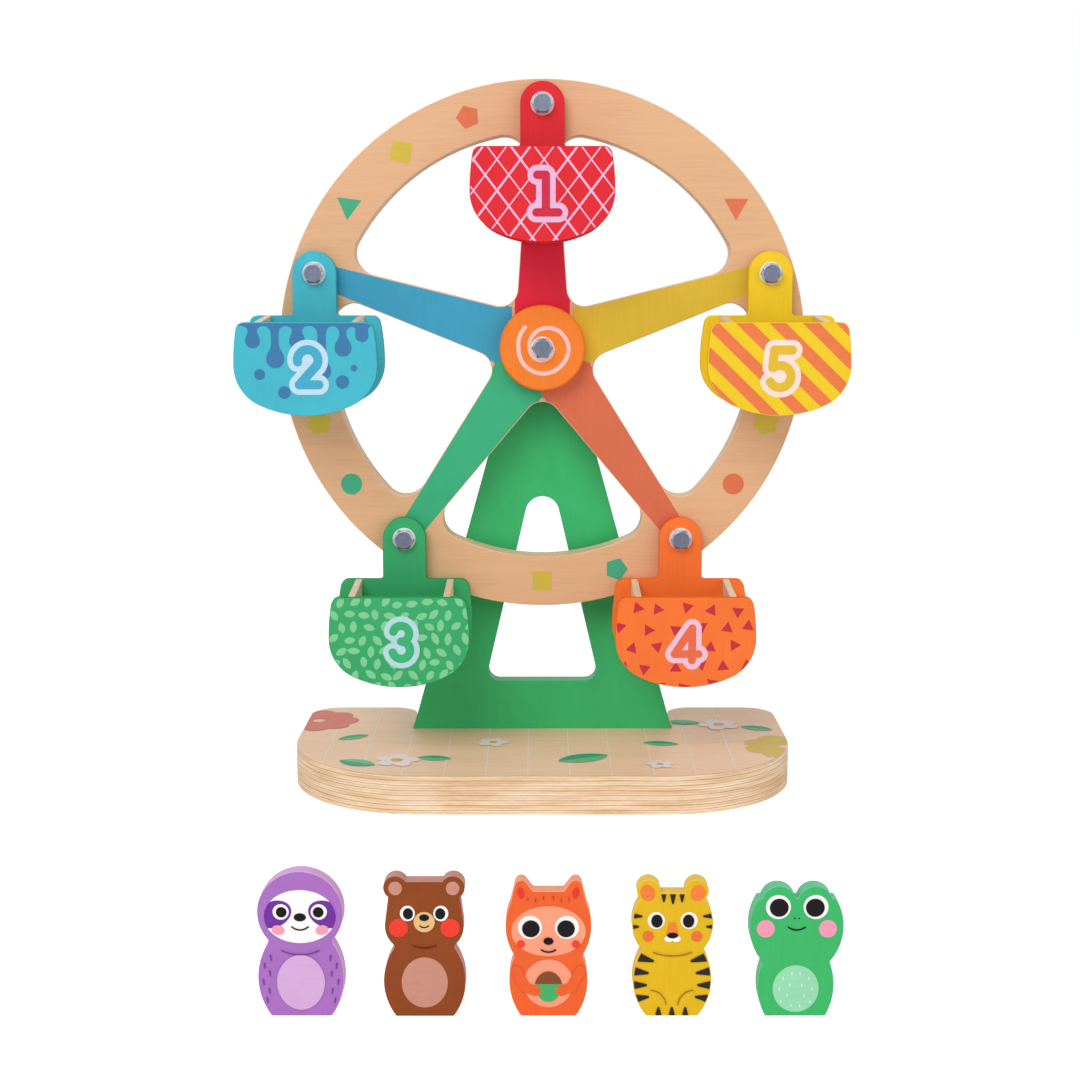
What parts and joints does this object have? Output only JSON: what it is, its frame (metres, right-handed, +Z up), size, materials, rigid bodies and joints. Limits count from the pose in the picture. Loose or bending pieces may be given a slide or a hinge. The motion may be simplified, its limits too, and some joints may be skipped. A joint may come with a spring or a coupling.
{
  "type": "toy ferris wheel",
  "caption": "Plywood toy Ferris wheel turned by hand: a spoked wheel on a stand and base, hanging baskets that stay level, and standing animal figures to ride in them.",
  "frame": {"origin": "on the floor under the middle of the base, in the plane of the wheel's front face", "axes": "+X to the viewer's right, +Y to the rear along the axle, +Z up"},
  "size_m": [0.2912, 0.356, 0.3485],
  "materials": {
    "birch_plywood": "clear satin lacquer",
    "bare_wood": "bare",
    "stand_green": "satin paint",
    "hub_orange": "satin paint",
    "paint_red": "satin paint",
    "paint_turquoise": "satin paint",
    "paint_green": "satin paint",
    "paint_orange": "satin paint",
    "paint_yellow": "satin paint",
    "zinc_steel": "bright zinc plate",
    "figure_sloth": "satin paint",
    "figure_bear": "satin paint",
    "figure_squirrel": "satin paint",
    "figure_tiger": "satin paint",
    "figure_frog": "satin paint"
  },
  "bodies": {
    "base": {"base_plate": "birch_plywood", "stand_panel": "stand_green", "stand_screws": "zinc_steel", "axle_bolt": "zinc_steel", "axle_bush": "zinc_steel", "axle_washer": "zinc_steel", "axle_nut": "zinc_steel"},
    "wheel": {"wheel": "birch_plywood", "hub_cap": "hub_orange", "pivot_bolts": "zinc_steel", "pivot_tee_nuts": "zinc_steel", "pivot_washer_1": "zinc_steel", "pivot_washer_2": "zinc_steel", "pivot_washer_3": "zinc_steel", "pivot_washer_4": "zinc_steel", "pivot_washer_5": "zinc_steel"},
    "gondola_1": {"gondola_1_back": "paint_red", "gondola_1_front": "paint_red", "gondola_1_left_slat": "bare_wood", "gondola_1_right_slat": "bare_wood", "gondola_1_floor": "bare_wood"},
    "gondola_2": {"gondola_2_back": "paint_turquoise", "gondola_2_front": "paint_turquoise", "gondola_2_left_slat": "bare_wood", "gondola_2_right_slat": "bare_wood", "gondola_2_floor": "bare_wood"},
    "gondola_3": {"gondola_3_back": "paint_green", "gondola_3_front": "paint_green", "gondola_3_left_slat": "bare_wood", "gondola_3_right_slat": "bare_wood", "gondola_3_floor": "bare_wood"},
    "gondola_4": {"gondola_4_back": "paint_orange", "gondola_4_front": "paint_orange", "gondola_4_left_slat": "bare_wood", "gondola_4_right_slat": "bare_wood", "gondola_4_floor": "bare_wood"},
    "gondola_5": {"gondola_5_back": "paint_yellow", "gondola_5_front": "paint_yellow", "gondola_5_left_slat": "bare_wood", "gondola_5_right_slat": "bare_wood", "gondola_5_floor": "bare_wood"},
    "figure_sloth": {"figure_sloth": "figure_sloth"},
    "figure_bear": {"figure_bear": "figure_bear"},
    "figure_squirrel": {"figure_squirrel": "figure_squirrel"},
    "figure_tiger": {"figure_tiger": "figure_tiger"},
    "figure_frog": {"figure_frog": "figure_frog"}
  },
  "joints": [
    {"name": "wheel_spin", "type": "hinge", "parent": "base", "child": "wheel", "pos_m": [0, 0.0075, 0.2185], "axis": [0, 1, 0], "continuous": true},
    {"name": "gondola_1_level", "type": "hinge", "parent": "wheel", "child": "gondola_1", "pos_m": [0, -0.0009, 0.336], "axis": [0, 1, 0], "continuous": true},
    {"name": "gondola_2_level", "type": "hinge", "parent": "wheel", "child": "gondola_2", "pos_m": [-0.11175, -0.0009, 0.25481], "axis": [0, 1, 0], "continuous": true},
    {"name": "gondola_3_level", "type": "hinge", "parent": "wheel", "child": "gondola_3", "pos_m": [-0.06906, -0.0009, 0.12344], "axis": [0, 1, 0], "continuous": true},
    {"name": "gondola_4_level", "type": "hinge", "parent": "wheel", "child": "gondola_4", "pos_m": [0.06906, -0.0009, 0.12344], "axis": [0, 1, 0], "continuous": true},
    {"name": "gondola_5_level", "type": "hinge", "parent": "wheel", "child": "gondola_5", "pos_m": [0.11175, -0.0009, 0.25481], "axis": [0, 1, 0], "continuous": true},
    {"name": "figure_sloth_lift", "type": "slide", "parent": "base", "child": "figure_sloth", "axis": [0, 0, 1], "range_m": [0, 0.15]},
    {"name": "figure_bear_lift", "type": "slide", "parent": "base", "child": "figure_bear", "axis": [0, 0, 1], "range_m": [0, 0.15]},
    {"name": "figure_squirrel_lift", "type": "slide", "parent": "base", "child": "figure_squirrel", "axis": [0, 0, 1], "range_m": [0, 0.15]},
    {"name": "figure_tiger_lift", "type": "slide", "parent": "base", "child": "figure_tiger", "axis": [0, 0, 1], "range_m": [0, 0.15]},
    {"name": "figure_frog_lift", "type": "slide", "parent": "base", "child": "figure_frog", "axis": [0, 0, 1], "range_m": [0, 0.15]}
  ],
  "couplings": [
    {"joint": "gondola_1_level", "follows": "wheel_spin", "ratio": -1},
    {"joint": "gondola_2_level", "follows": "wheel_spin", "ratio": -1},
    {"joint": "gondola_3_level", "follows": "wheel_spin", "ratio": -1},
    {"joint": "gondola_4_level", "follows": "wheel_spin", "ratio": -1},
    {"joint": "gondola_5_level", "follows": "wheel_spin", "ratio": -1}
  ]
}
